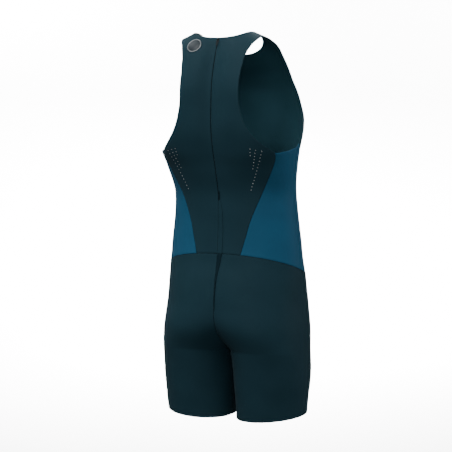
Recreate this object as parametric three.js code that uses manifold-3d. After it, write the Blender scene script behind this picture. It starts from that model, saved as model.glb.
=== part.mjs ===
// Sleeveless triathlon suit in the form it has when worn, hollow and with nobody in it.
// Millimetres. +X is the wearer's left, -Y the front, +Z up. The origin lies midway between the crests of
// the two shoulder straps, where the wearer carries the suit.
import * as THREE from "three";
import { mergeVertices } from "three/addons/utils/BufferGeometryUtils.js";
import Module from "manifold-3d";

const mix = (a, b, f) => a + (b - a) * f;
const radians = (degrees) => (degrees * Math.PI) / 180;
const signedPower = (v, p) => Math.sign(v) * Math.abs(v) ** p;
const range = (from, to) => Array.from({ length: to - from + 1 }, (_, i) => from + i);

const clothWall = 1.2;
const tapeWall = 0.9;
const flapWall = 1.0;
const badgeWall = 0.8;
const seamGap = 0.3;
const layerGap = 0.3;

// Sections of the body from the crotch to the neck, spaced evenly by level. Each row gives the side, the
// centre back and the centre front of one ring round the cloth, how square its quarters are (power), how
// deep the spine lies in it (groove), how far it is parted into two legs (lobe) and how far the cloth
// spans the valley between them at the back and the front (bridge).
const bodyColumns = [
  "sideX", "sideY", "sideZ", "backY", "backZ", "frontY", "frontZ",
  "backPower", "frontPower", "groove", "lobe", "backBridge", "frontBridge",
];
const bodySections = [
  [166, -67, -700, 34, -700, -160, -700, 0.9, 0.9, 0, 1, 0, 0],
  [167, -68, -650, 52, -650, -172, -650, 1, 0.9, 0, 0.55, 0.35, 0.8],
  [164, -68, -600, 50, -600, -172, -600, 1.02, 0.9, 0, 0.3, 0.6, 1],
  [160, -67, -550, 43, -550, -166, -550, 1, 0.9, 0, 0.12, 0.8, 1],
  [155, -62, -500, 33, -500, -160, -500, 1, 0.92, 1, 0, 1, 1],
  [151, -60, -450, 28, -450, -157, -450, 1, 0.92, 2, 0, 1, 1],
  [145, -58, -400, 27, -400, -155, -400, 1, 0.9, 3, 0, 1, 1],
  [142, -53, -350, 30, -350, -152, -350, 0.95, 0.88, 4, 0, 1, 1],
  [149, -42, -300, 45, -300, -146, -300, 0.86, 0.92, 6, 0, 1, 1],
  [156, -36, -260, 59, -260, -148, -260, 0.75, 0.88, 8, 0, 1, 1],
  [160, -34, -215, 70, -215, -157, -215, 0.62, 0.75, 10, 0, 1, 1],
  [162, -30, -160, 71, -165, -157, -170, 0.6, 0.72, 11, 0, 1, 1],
  [158, -22, -105, 68, -120, -147, -130, 0.6, 0.72, 10, 0, 1, 1],
  [146, -12, -60, 55, -80, -128, -98, 0.65, 0.72, 6, 0, 1, 1],
  [118, -4, -25, 40, -45, -106, -70, 0.75, 0.72, 3, 0, 1, 1],
  [69, 0, 0, 22, -13, -88, -46, 0.85, 0.75, 0, 0, 1, 1],
];
const neckLevel = bodySections.length - 1;
const grooveWidth = 26;

// Sections of a leg from the crotch to the hem.
const legColumns = [
  "centreX", "centreY", "radiusX", "backRadius", "frontRadius", "backPower", "frontPower",
];
const legSections = [
  [83, -67, 83, 101, 93, 0.9, 0.9],
  [84.5, -67, 82.5, 93, 92, 0.94, 0.92],
  [85, -67, 81, 87, 88, 0.97, 0.95],
  [84.5, -67, 79, 82, 82, 1, 1],
  [83.5, -67, 76.5, 77, 77, 1, 1],
];
const crotchZ = -700;
const hemZ = -846;
const hemRise = { outside: 8, back: -6 };

// Seams and edges, as angles round the body (0 side, 90 centre back, -90 centre front) and levels.
const waist = { backLevel: 4.32, fall: 0.76, frontAngle: -36, backAngle: 70 };
const seamColumns = ["angle", "level"];
const backSeamRows = [
  [70, waistLevel(70)],
  [67.5, 4.7],
  [64.6, 5.15],
  [61.6, 5.6],
  [57.6, 6.05],
  [52.8, 6.5],
  [47.8, 6.95],
  [42.8, 7.4],
  [38.4, 7.85],
  [34.8, 8.3],
  [33.2, 8.65],
  [34, 8.96],
];
const frontSeamRows = [
  [-36, waistLevel(-36)],
  [-36, 4.2],
  [-34.5, 5.3],
  [-32.5, 6.3],
  [-29.5, 7.3],
  [-25.5, 8.1],
  [-20, 8.75],
  [-7, 9.4],
];
const armholeRows = [
  [34, 8.96],
  [55, 9.5],
  [68.5, 10.18],
  [74.3, 11],
  [74.8, 11.9],
  [70.5, 12.9],
  [59.5, 13.72],
  [38, 14.25],
  [-4, 14.48],
  [-24, 14.15],
  [-41, 13.6],
  [-48.5, 12.6],
  [-46.5, 11.85],
  [-38.5, 11],
  [-24, 10.32],
  [-7, 9.4],
  [5, 9.1],
  [20, 8.99],
  [34, 8.96],
];
const armholeCorner = { crest: 8, front: 15, end: 18 };
const shoulderAngle = -4;
const frontNeckDip = 0.17;

// How many rows and columns of points each panel has.
const rows = { side: 10, armhole: 18, backToNeck: 12, frontToNeck: 11, seat: 14, leg: 8 };
const columns = { front: 8, side: 8, back: 7 };
const crotchCrowding = 1.5;

// The strip of cloth beside the zip, the tape behind it and the flap beside it.
const stripWidth = 12;
const zipEndRow = 8;
const backFlapWidths = [11.8, 11.8, 11.8, 11.2, 10.4, 5];
const seatFlapWidths = [2.2, 2.6, 3, 3.4, 5, 8.5, 11.8];

const badge = { x: 55, y: 30, z: -32, radius: 17, rings: 3, sectors: 24, lift: 0.5 };

const slider = {
  fromNeck: 6, width: 6.4, length: 10, plate: 1.2, bridgeWidth: 2.4, opening: 4, height: 2.2, bar: 1,
};
const tab = { wall: 1.1, width: 6, tipWidth: 4.6, length: 16, window: 4.2, side: 1.3 };

const colours = { dark: 0x14303b, blue: 0x17516f, zip: 0x0a1a20, badge: 0x6f777c };

// Smooth curve through the rows of a table, straight on past both ends. A closed table repeats its first
// row at its end.
function tableAt(names, table, at, closed = false) {
  const last = table.length - 1;
  const i = Math.min(Math.max(Math.floor(at), 0), last - 1);
  const f = at - i;
  const result = {};
  names.forEach((name, k) => {
    const b = table[i][k];
    const c = table[i + 1][k];
    const before = closed ? table[last - 1][k] : 2 * b - c;
    const after = closed ? table[1][k] : 2 * c - b;
    const a = i > 0 ? table[i - 1][k] : before;
    const d = i + 2 <= last ? table[i + 2][k] : after;
    const bend = 2 * a - 5 * b + 4 * c - d + f * (3 * b - a - 3 * c + d);
    result[name] = b + 0.5 * f * (c - a + f * bend);
  });
  return result;
}

function waistLevel(angle) {
  const turn = Math.abs(angle) > 90 ? Math.sign(angle) : Math.sin(radians(angle));
  return waist.backLevel - waist.fall * (1 - turn);
}

// A point of the body's outer face: a ring of four superellipse quarters, tilted so that its centre back
// and centre front lie at their own heights.
function bodyPoint(angle, level) {
  const s = tableAt(bodyColumns, bodySections, level);
  const c = Math.cos(radians(angle));
  const n = Math.sin(radians(angle));
  const isBack = n >= 0;
  const power = isBack ? s.backPower : s.frontPower;
  const radius = s.sideX / (1 + Math.max(s.lobe, 0));
  const x = s.sideX - radius + radius * signedPower(c, power);
  let reach = Math.abs(n) ** power;
  if (c < 0) reach = mix(reach, 1, isBack ? s.backBridge : s.frontBridge);
  const spine = isBack ? s.groove * Math.exp(-((x / grooveWidth) ** 2)) : 0;
  const y = mix(s.sideY, isBack ? s.backY : s.frontY, reach) - spine;
  const z = mix(s.sideZ, isBack ? s.backZ : s.frontZ, n * n);
  return new THREE.Vector3(x, y, z);
}

// The angle at which a ring of the body has a given x, at the back (side 1) or the front (side -1).
function angleAtX(x, level, side) {
  const s = tableAt(bodyColumns, bodySections, level);
  const radius = s.sideX / (1 + Math.max(s.lobe, 0));
  const power = side > 0 ? s.backPower : s.frontPower;
  const c = signedPower((x - s.sideX + radius) / radius, 1 / power);
  return (side * Math.acos(Math.max(c, -1)) * 180) / Math.PI;
}

// A point of a leg's outer face, from the crotch (down 0) to the hem (down 1). 180 and -180 meet at the
// inside of the leg.
function legPoint(angle, down) {
  const s = tableAt(legColumns, legSections, down * (legSections.length - 1));
  const c = Math.cos(radians(angle));
  const n = Math.sin(radians(angle));
  const power = n >= 0 ? s.backPower : s.frontPower;
  const end = hemZ + hemRise.outside * c + hemRise.back * n;
  return new THREE.Vector3(
    s.centreX + s.radiusX * signedPower(c, power),
    s.centreY + (n >= 0 ? s.backRadius : s.frontRadius) * signedPower(n, power),
    mix(crotchZ, end, down),
  );
}

// Places f = 0..1 along a curve, evenly by length, or at the given shares of its length.
function spread(curve, count, shares = range(0, count).map((k) => k / count)) {
  const fine = 160;
  const lengths = [0];
  let previous = curve.point(0);
  for (let k = 1; k <= fine; k++) {
    const next = curve.point(k / fine);
    lengths.push(lengths[k - 1] + next.distanceTo(previous));
    previous = next;
  }
  return shares.map((share) => {
    const wanted = share * lengths[fine];
    let k = lengths.findIndex((length) => length >= wanted);
    k = Math.max(k, 1);
    const step = lengths[k] - lengths[k - 1];
    const f = (k - 1 + (wanted - lengths[k - 1]) / step) / fine;
    return curve.place(Math.min(Math.max(f, 0), 1));
  });
}

// A curve on the body, given by a function from f = 0..1 to an angle and a level.
function bodyCurve(place) {
  return { place, point: (f) => toPoint(place(f)) };
}

function toPoint(place) {
  return bodyPoint(place.angle, place.level);
}

function tableCurve(table, from, to, closed) {
  return bodyCurve((f) => tableAt(seamColumns, table, mix(from, to, f), closed));
}

// The neck's edge dips a little between the centre front and the shoulder seam.
const neckPlace = (angle) => ({
  angle,
  level: neckLevel - (angle < 0 ? frontNeckDip * Math.sin(radians(2 * angle)) ** 2 : 0),
});
const neckLine = (from, to) => bodyCurve((f) => neckPlace(mix(from, to, f)));
const waistLine = (from, to) =>
  bodyCurve((f) => {
    const angle = mix(from, to, f);
    return { angle, level: waistLevel(angle) };
  });

// Fills a four-sided field between its bottom, its top, its start and its end (Coons' patch), in angles
// and levels.
function fill(bottom, top, start, end) {
  const lastRow = start.length - 1;
  const lastColumn = bottom.length - 1;
  const corners = [bottom[0], bottom[lastColumn], top[0], top[lastColumn]];
  return start.map((_, i) =>
    bottom.map((_, j) => {
      const v = i / lastRow;
      const u = j / lastColumn;
      const place = {};
      for (const k of seamColumns) {
        const across = mix(start[i][k], end[i][k], u);
        const along = mix(bottom[j][k], top[j][k], v);
        const [a, b, c, d] = corners.map((corner) => corner[k]);
        place[k] = across + along - mix(mix(a, b, u), mix(c, d, u), v);
      }
      return place;
    }),
  );
}

const toPoints = (grid) => grid.map((row) => row.map(toPoint));
const mirrored = (p) => new THREE.Vector3(-p.x, p.y, p.z);

// Places round the waist seam, from the centre front to the strip beside the zip and the zip itself.
const stripAngle = (level) => angleAtX(stripWidth, level, 1);
const frontCentre = (level) => ({ angle: angleAtX(0, level, -1), level });
const waistFront = frontCentre(waistLevel(-90)).angle;
const waistStrip = stripAngle(waist.backLevel);
const waistPlaces = [
  ...spread(waistLine(waistFront, waist.frontAngle), columns.front),
  ...spread(waistLine(waist.frontAngle, waist.backAngle), columns.side).slice(1),
  ...spread(waistLine(waist.backAngle, waistStrip), columns.back).slice(1),
  { angle: 90, level: waist.backLevel },
];
const waistFrontEnd = columns.front;
const waistSideEnd = columns.front + columns.side;
const waistStripEnd = waistSideEnd + columns.back;

const backSeam = spread(tableCurve(backSeamRows, 0, backSeamRows.length - 1), rows.side);
const frontSeam = spread(tableCurve(frontSeamRows, 0, frontSeamRows.length - 1), rows.side);
const armholeBack = spread(tableCurve(armholeRows, 0, armholeCorner.crest, true), rows.armhole);
const armholeFront = spread(
  tableCurve(armholeRows, armholeCorner.front, armholeCorner.crest, true),
  rows.armhole,
);
const armholeBottom = spread(
  tableCurve(armholeRows, armholeCorner.front, armholeCorner.end, true),
  columns.side,
);

// Levels of a panel's rows on its centre line: level with the side seam's rows, then rising ever more
// above the armhole's rows until they reach the neck.
function centreLevels(from, armhole, toNeck) {
  const side = range(0, rows.side).map((i) => mix(from, armhole[0].level, i / rows.side));
  const rise = neckLevel - armhole[toNeck].level;
  const upper = range(1, toNeck).map((i) => armhole[i].level + rise * (i / toNeck) ** 2);
  return [...side, ...upper];
}

// The shoulder seam from the armhole to the neck.
const strapEdge = armholeRows[armholeCorner.crest][1];
const neckEdge = neckPlace(shoulderAngle).level;
const shoulderLine = bodyCurve((f) => ({ angle: shoulderAngle, level: mix(strapEdge, neckEdge, f) }));

function backPanel() {
  const levels = centreLevels(waist.backLevel, armholeBack, rows.backToNeck);
  const strip = levels.map((level) => ({ angle: stripAngle(level), level }));
  strip[0] = waistPlaces[waistStripEnd];
  const neck = spread(neckLine(stripAngle(neckLevel), shoulderAngle), rows.armhole - rows.backToNeck);
  const start = [...backSeam, ...armholeBack.slice(1)];
  const end = [...strip, ...neck.slice(1)];
  const main = toPoints(
    fill(
      waistPlaces.slice(waistSideEnd, waistStripEnd + 1),
      spread(shoulderLine, columns.back),
      start,
      end,
    ),
  );
  const zip = levels.map((level, i) => [toPoint(strip[i]), bodyPoint(90, level)]);
  const sideSeam = main.slice(0, rows.side + 1).map((row) => row[0]);
  const seams = [
    [...main[0], zip[0][1]],
    zip.map((row) => row[1]),
    [...main.at(-1)].reverse(),
    sideSeam.reverse(),
  ];
  return { grids: [main, zip], seams, zip };
}

function sidePanel() {
  const bottom = waistPlaces.slice(waistFrontEnd, waistSideEnd + 1);
  const grid = toPoints(fill(bottom, armholeBottom, frontSeam, backSeam));
  const seams = [grid[0], grid.map((row) => row.at(-1)), grid.map((row) => row[0]).reverse()];
  return { grids: [grid], seams };
}

// The left half of the front. Its centre line is no seam.
function frontHalf() {
  const levels = centreLevels(waistLevel(-90), armholeFront, rows.frontToNeck);
  const neck = spread(neckLine(-90, shoulderAngle), rows.armhole - rows.frontToNeck);
  const start = [...levels.map(frontCentre), ...neck.slice(1)];
  const end = [...frontSeam, ...armholeFront.slice(1)];
  const strap = spread(shoulderLine, columns.front).reverse();
  const grid = toPoints(fill(waistPlaces.slice(0, waistFrontEnd + 1), strap, start, end));
  const sideSeam = grid.slice(0, rows.side + 1).map((row) => row.at(-1));
  return { grids: [grid], seams: [grid[0], sideSeam, [...grid.at(-1)].reverse()] };
}

// One leg and its half of the seat, from the hem up to the waist seam.
function shortsHalf() {
  const last = waistPlaces.length - 1;
  const even = range(0, last - 1).map((j) => j / (last - 1));
  const waistPoints = waistPlaces.slice(0, last).map(toPoint);
  const lengths = waistPoints.map((p, j) => (j ? p.distanceTo(waistPoints[j - 1]) : 0));
  const total = lengths.reduce((a, b) => a + b);
  let sum = 0;
  const waistShares = lengths.map((length) => (sum += length) / total);
  const grid = [];
  for (let i = rows.leg; i > 0; i--) {
    const down = i / rows.leg;
    const inner = mix(angleAtX(stripWidth, 0, 1), 180 - 360 / last, Math.min(1, 2 * down));
    const loop = {
      place: (f) => mix(-180, inner, f),
      point: (f) => legPoint(mix(-180, inner, f), down),
    };
    const angles = spread(loop, last - 1, even);
    grid.push([...angles.map((angle) => legPoint(angle, down)), legPoint(180, down)]);
  }
  for (let i = 0; i < rows.seat; i++) {
    const share = (i / rows.seat) ** crotchCrowding;
    const backLevel = waist.backLevel * share;
    const from = angleAtX(0, waistLevel(-90) * share, -1);
    const to = angleAtX(stripWidth, backLevel, 1);
    const line = bodyCurve((f) => {
      const angle = mix(from, to, f);
      return { angle, level: waistLevel(angle) * share };
    });
    const shares = even.map((f, j) => mix(f, waistShares[j], share));
    const places = spread(line, last - 1, shares);
    grid.push([...places.map(toPoint), bodyPoint(angleAtX(0, backLevel, 1), backLevel)]);
  }
  grid.push(waistPlaces.map(toPoint));
  const seat = grid.slice(rows.leg);
  const centreFront = seat.map((row) => row[0]).reverse();
  const centreBack = seat.map((row) => row[last]);
  const zip = seat.map((row) => row.slice(last - 1));
  return { grids: [grid], seams: [centreFront, centreBack, [...grid.at(-1)].reverse()], zip };
}

const pointKey = (p) => [p.x, p.y, p.z].map((v) => Math.round(v * 1000) || 0).join();

function lookUp(map, p) {
  const found = map.get(pointKey(p));
  return found ? found.clone() : new THREE.Vector3();
}

function gather(map, p, v) {
  const key = pointKey(p);
  if (!map.has(key)) map.set(key, new THREE.Vector3());
  map.get(key).add(v);
}

const quadsOf = (grid) =>
  range(0, grid.length - 2).flatMap((i) =>
    range(0, grid[i].length - 2).map((j) => [
      grid[i][j],
      grid[i][j + 1],
      grid[i + 1][j + 1],
      grid[i + 1][j],
    ]),
  );

// Outward direction at every point, from the fields that meet there, and those of the other half.
function outwards(halves) {
  const sums = new Map();
  for (const [a, b, c, d] of halves.flatMap((half) => half.grids.flatMap(quadsOf))) {
    const across = new THREE.Vector3().subVectors(c, a);
    const area = across.cross(new THREE.Vector3().subVectors(d, b));
    for (const p of new Set([a, b, c, d])) {
      gather(sums, p, area);
      gather(sums, mirrored(p), mirrored(area));
    }
  }
  for (const sum of sums.values()) sum.normalize();
  return sums;
}

// How far each point on a seam steps back into its own panel, half the gap between the pieces.
function seamSteps(seams, normals) {
  const steps = new Map();
  for (const seam of seams) {
    seam.forEach((p, k) => {
      const after = seam[Math.min(k + 1, seam.length - 1)];
      const before = seam[Math.max(k - 1, 0)];
      const along = new THREE.Vector3().subVectors(after, before);
      const inwards = lookUp(normals, p).cross(along).normalize();
      gather(steps, p, inwards.multiplyScalar(seamGap / 2));
    });
  }
  return steps;
}

// A closed wall over quads of points: the outer face, the inner face and a rim round every open edge.
// Each point is { at, out }, and the wall reaches from lift - wall to lift along out.
function wallOver(quads, wall, lift) {
  const ids = new Map();
  const points = [];
  const idOf = (point) => {
    const key = pointKey(point.at);
    if (!ids.has(key)) ids.set(key, points.push(point) - 1);
    return ids.get(key);
  };
  const faces = [];
  for (const quad of quads) {
    const [a, b, c, d] = quad.map(idOf);
    const short = quad[0].at.distanceTo(quad[2].at) <= quad[1].at.distanceTo(quad[3].at);
    const pair = short ? [[a, b, c], [a, c, d]] : [[a, b, d], [b, c, d]];
    faces.push(...pair.filter(([p, q, r]) => p !== q && q !== r && r !== p));
  }
  const count = points.length;
  const edges = new Set(faces.flatMap(([p, q, r]) => [`${p},${q}`, `${q},${r}`, `${r},${p}`]));
  const index = faces.flatMap(([p, q, r]) => [p, q, r, r + count, q + count, p + count]);
  for (const edge of edges) {
    const [p, q] = edge.split(",").map(Number);
    if (!edges.has(`${q},${p}`)) index.push(q, p, p + count, q, p + count, q + count);
  }
  const positions = [lift, lift - wall].flatMap((height) =>
    points.flatMap(({ at, out }) => at.clone().addScaledVector(out, height).toArray()),
  );
  const geometry = new THREE.BufferGeometry();
  geometry.setAttribute("position", new THREE.Float32BufferAttribute(positions, 3));
  geometry.setIndex(index);
  return geometry;
}

const suit = new THREE.Group();

function addPiece(name, geometry, colour, roughness, metalness = 0) {
  const material = new THREE.MeshStandardMaterial({ color: colour, roughness, metalness });
  const mesh = new THREE.Mesh(geometry, material);
  mesh.name = name;
  suit.add(mesh);
  return mesh;
}

const back = backPanel();
const side = sidePanel();
const front = frontHalf();
const shorts = shortsHalf();
const normals = outwards([back, side, front, shorts]);

// Left-hand quads of a piece with its seam steps, and the same turned to the right-hand side.
function placedQuads(piece) {
  const steps = seamSteps(piece.seams, normals);
  const place = (p) => ({ at: p.clone().add(lookUp(steps, p)), out: lookUp(normals, p) });
  return piece.grids.flatMap(quadsOf).map((quad) => quad.map(place));
}

const mirroredQuads = (quads) =>
  quads.map((quad) => quad.map(({ at, out }) => ({ at: mirrored(at), out: mirrored(out) })).reverse());

function addPair(name, quads, colour, roughness) {
  addPiece(`${name}_left`, wallOver(quads, clothWall, 0), colour, roughness);
  addPiece(`${name}_right`, wallOver(mirroredQuads(quads), clothWall, 0), colour, roughness);
}

const backQuads = placedQuads(back);
addPair("back", backQuads, colours.dark, 0.62);
addPair("side", placedQuads(side), colours.blue, 0.55);
addPair("shorts", placedQuads(shorts), colours.dark, 0.62);
const frontQuads = placedQuads(front);
addPiece(
  "front",
  wallOver([...frontQuads, ...mirroredQuads(frontQuads)], clothWall, 0),
  colours.dark,
  0.62,
);

// The tape lies behind both strips beside the zip, from the end of the opening on the seat to the neck.
function zipTape() {
  const upwards = [...shorts.zip.slice(zipEndRow), ...back.zip.slice(1)];
  const grid = upwards.map(([edge, centre]) => [edge, centre, mirrored(edge)]);
  const quads = quadsOf(grid).map((quad) => quad.map((p) => ({ at: p, out: lookUp(normals, p) })));
  return wallOver(quads, tapeWall, -clothWall - layerGap);
}

// A flap on the right-hand strip, from the zip to its own width in each row, short of the waist seam.
function zipFlap(zip, widths, waistRow) {
  const grid = zip.map(([edge, centre], i) => {
    const other = mirrored(edge);
    const f = widths[i] / stripWidth;
    const to = i === waistRow ? seamGap / 2 : 0;
    const next = zip[i === 0 ? 1 : i - 1][1];
    const inwards = new THREE.Vector3().subVectors(next, centre).setLength(to);
    return [
      { at: centre.clone().add(inwards), out: lookUp(normals, centre) },
      {
        at: centre.clone().lerp(other, f).add(inwards),
        out: lookUp(normals, centre).lerp(lookUp(normals, other), f).normalize(),
      },
    ];
  });
  return wallOver(quadsOf(grid), flapWall, layerGap + flapWall);
}

addPiece("zip_tape", zipTape(), colours.zip, 0.8);
const lastFlapRow = backFlapWidths.length - 1;
addPiece(
  "zip_flap_back",
  zipFlap(back.zip.slice(0, lastFlapRow + 1), backFlapWidths, 0),
  colours.dark,
  0.7,
);
const seatZip = shorts.zip.slice(zipEndRow);
addPiece("zip_flap_seat", zipFlap(seatZip, seatFlapWidths, seatZip.length - 1), colours.zip, 0.7);

// The badge: a disc dropped onto the left back panel along the direction that the cloth faces there.
function badgeDisc() {
  const centre = new THREE.Vector3(badge.x, badge.y, badge.z);
  const triangles = backQuads.flatMap(([a, b, c, d]) => [
    new THREE.Triangle(a.at, b.at, c.at),
    new THREE.Triangle(a.at, c.at, d.at),
  ]);
  const nearer = (a, b) => (a.at.distanceTo(centre) < b.at.distanceTo(centre) ? a : b);
  const near = backQuads.flat().reduce(nearer);
  const out = near.out;
  const across = new THREE.Vector3(0, 0, 1).cross(out).normalize();
  const up = out.clone().cross(across);
  const drop = (r, turn) => {
    const from = centre.clone().addScaledVector(out, 60);
    from.addScaledVector(across, r * Math.cos(turn)).addScaledVector(up, r * Math.sin(turn));
    const ray = new THREE.Ray(from, out.clone().negate());
    const hits = triangles.map((t) => ray.intersectTriangle(t.a, t.b, t.c, false, new THREE.Vector3()));
    const hit = hits.filter((p) => p).sort((p, q) => p.distanceTo(from) - q.distanceTo(from))[0];
    return { at: hit, out };
  };
  const middle = drop(0, 0);
  const ringPoint = (ring, sector) =>
    ring === 0
      ? middle
      : drop(
          (badge.radius * ring) / badge.rings,
          (2 * Math.PI * (sector % badge.sectors)) / badge.sectors,
        );
  const grid = range(0, badge.sectors).map((sector) =>
    range(0, badge.rings).map((ring) => ringPoint(ring, sector)),
  );
  return wallOver(quadsOf(grid), badgeWall, badge.lift + badgeWall);
}

addPiece("badge", badgeDisc(), colours.badge, 0.4, 0.3);

// The slider's own frame: x across, y up along the cloth at the top of the zip, z away from the cloth.
const zipTop = back.zip[rows.side + rows.backToNeck][1];
const zipBelow = back.zip[rows.side + rows.backToNeck - 1][1];
const zipUp = new THREE.Vector3().subVectors(zipTop, zipBelow).normalize();
const zipOut = new THREE.Vector3(1, 0, 0).cross(zipUp).negate();
const zipHead = new THREE.Group();
zipHead.position.copy(zipTop).addScaledVector(zipUp, -slider.fromNeck).addScaledVector(zipOut, layerGap);
zipHead.quaternion.setFromRotationMatrix(
  new THREE.Matrix4().makeBasis(new THREE.Vector3().crossVectors(zipUp, zipOut), zipUp, zipOut),
);
suit.add(zipHead);

const wasm = await Module();
wasm.setup();

function solidOf(geometry) {
  const bare = geometry.clone();
  bare.deleteAttribute("normal");
  bare.deleteAttribute("uv");
  const merged = mergeVertices(bare, 1e-4);
  return new wasm.Manifold(
    new wasm.Mesh({
      numProp: 3,
      vertProperties: merged.attributes.position.array,
      triVerts: new Uint32Array(merged.index.array),
    }),
  );
}

function geometryOf(solid) {
  const mesh = solid.getMesh();
  const geometry = new THREE.BufferGeometry();
  geometry.setAttribute("position", new THREE.BufferAttribute(mesh.vertProperties, 3));
  geometry.setIndex(new THREE.BufferAttribute(mesh.triVerts, 1));
  return geometry;
}

// A rounded plate under a bridge that is cut from a side view and runs along the zip.
function zipSlider() {
  const half = { x: slider.width / 2, y: slider.length / 2 };
  const outline = new THREE.Shape();
  outline.moveTo(-half.x * 0.6, -half.y);
  outline.lineTo(half.x * 0.6, -half.y);
  outline.lineTo(half.x, half.y * 0.3);
  outline.absarc(0, half.y * 0.3, half.x, 0, Math.PI);
  outline.lineTo(-half.x * 0.6, -half.y);
  const plate = new THREE.ExtrudeGeometry(outline, {
    depth: slider.plate,
    bevelEnabled: false,
    curveSegments: 10,
  });
  const foot = slider.opening / 2 + slider.bar;
  const top = slider.plate + slider.height + slider.bar;
  const view = new THREE.Shape();
  view.moveTo(-foot, slider.plate / 2);
  view.lineTo(foot, slider.plate / 2);
  view.lineTo(foot, top - slider.bar);
  view.lineTo(foot - slider.bar, top);
  view.lineTo(-foot + slider.bar, top);
  view.lineTo(-foot, top - slider.bar);
  view.closePath();
  const inner = slider.opening / 2;
  const hole = new THREE.Path();
  hole.moveTo(-inner, slider.plate);
  hole.lineTo(-inner, slider.plate + slider.height);
  hole.lineTo(inner, slider.plate + slider.height);
  hole.lineTo(inner, slider.plate);
  hole.closePath();
  view.holes.push(hole);
  const bridge = new THREE.ExtrudeGeometry(view, { depth: slider.bridgeWidth, bevelEnabled: false });
  bridge.translate(0, 0, -slider.bridgeWidth / 2);
  bridge.applyMatrix4(
    new THREE.Matrix4().makeBasis(
      new THREE.Vector3(0, 1, 0),
      new THREE.Vector3(0, 0, 1),
      new THREE.Vector3(1, 0, 0),
    ),
  );
  return geometryOf(solidOf(plate).add(solidOf(bridge)));
}

// A flat tab with a window at its top, whose upper bar turns in the slider's bridge.
function pullTab() {
  const half = tab.width / 2;
  const tip = tab.tipWidth / 2;
  const top = tab.wall / 2;
  const outline = new THREE.Shape();
  outline.moveTo(-half, top);
  outline.lineTo(-half, -tab.window - 1);
  outline.lineTo(-tip, -tab.length + tip);
  outline.absarc(0, -tab.length + tip, tip, Math.PI, 2 * Math.PI);
  outline.lineTo(half, -tab.window - 1);
  outline.lineTo(half, top);
  outline.closePath();
  const inner = half - tab.side;
  const window = new THREE.Path();
  window.moveTo(-inner, -top);
  window.lineTo(inner, -top);
  window.lineTo(inner, -tab.window);
  window.lineTo(-inner, -tab.window);
  window.closePath();
  outline.holes.push(window);
  const geometry = new THREE.ExtrudeGeometry(outline, {
    depth: tab.wall,
    bevelEnabled: false,
    curveSegments: 10,
  });
  return geometry.translate(0, 0, -tab.wall / 2);
}

zipHead.add(addPiece("zip_slider", zipSlider(), colours.zip, 0.35, 0.6));
const tabMesh = addPiece("pull_tab", pullTab(), colours.zip, 0.45, 0.2);
tabMesh.position.z = slider.plate + slider.height / 2;
zipHead.add(tabMesh);

export default suit;
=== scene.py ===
import math
import bpy
import numpy as np
from mathutils import Matrix, Vector


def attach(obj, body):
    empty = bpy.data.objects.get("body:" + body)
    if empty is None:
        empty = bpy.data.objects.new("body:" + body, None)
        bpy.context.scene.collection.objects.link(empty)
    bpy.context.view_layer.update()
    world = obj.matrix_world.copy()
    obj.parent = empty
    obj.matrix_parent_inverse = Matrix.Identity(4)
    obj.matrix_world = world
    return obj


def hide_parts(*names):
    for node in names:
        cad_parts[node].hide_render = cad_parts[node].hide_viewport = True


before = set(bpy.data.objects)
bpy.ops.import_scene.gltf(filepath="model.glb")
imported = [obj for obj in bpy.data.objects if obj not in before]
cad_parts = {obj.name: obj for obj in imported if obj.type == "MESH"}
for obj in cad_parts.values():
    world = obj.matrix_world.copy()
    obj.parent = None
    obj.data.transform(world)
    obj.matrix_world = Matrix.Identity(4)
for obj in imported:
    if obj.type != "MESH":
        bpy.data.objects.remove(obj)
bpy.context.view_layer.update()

# Sleeveless triathlon suit in worn form. Tables are in millimetres and degrees, meshes in metres.
# +X is the wearer's left, -Y the front, +Z up, the origin between the crests of the shoulder straps.
metre = 0.001
print("frame loaded:", len(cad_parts), "solids")

bodyForm = {
    "columns": ["sideX", "sideY", "sideZ", "backY", "backZ", "frontY", "frontZ",
                "backPower", "frontPower", "groove", "lobe", "backBridge", "frontBridge"],
    "rows": np.array([
        [170, -67, -700, 34, -700, -160, -700, 0.9, 0.9, 0, 1, 0, 0],
        [169.5, -68, -650, 52, -650, -172, -650, 1, 0.9, 0, 0.55, 0.35, 0.8],
        [165, -68, -600, 50, -600, -172, -600, 1.02, 0.9, 0, 0.3, 0.6, 1],
        [162.5, -67, -550, 43, -550, -166, -550, 1, 0.9, 0, 0.12, 0.8, 1],
        [158, -62, -500, 33, -500, -160, -500, 1, 0.92, 1, 0, 1, 1],
        [153, -60, -450, 28, -450, -157, -450, 1, 0.92, 2, 0, 1, 1],
        [147, -58, -400, 27, -400, -155, -400, 1, 0.9, 3, 0, 1, 1],
        [143, -53, -350, 30, -350, -152, -350, 0.95, 0.88, 4, 0, 1, 1],
        [151, -42, -300, 45, -300, -146, -300, 0.86, 0.92, 6, 0, 1, 1],
        [157, -36, -260, 59, -260, -148, -260, 0.69, 0.88, 8, 0, 1, 1],
        [160, -34, -215, 70, -215, -157, -215, 0.62, 0.75, 10, 0, 1, 1],
        [162, -30, -160, 73, -165, -157, -170, 0.6, 0.72, 13, 0, 1, 1],
        [158, -22, -105, 72, -120, -147, -130, 0.6, 0.72, 14, 0, 1, 1],
        [146, -12, -60, 62, -80, -128, -98, 0.65, 0.72, 13, 0, 1, 1],
        [118, -4, -25, 48, -45, -106, -70, 0.75, 0.72, 11, 0, 1, 1],
        [69, 0, 0, 28, -13, -88, -46, 0.85, 0.75, 6, 0, 1, 1]], float),
    "neckLevel": 15,
    "spineWidth": 26}
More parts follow.
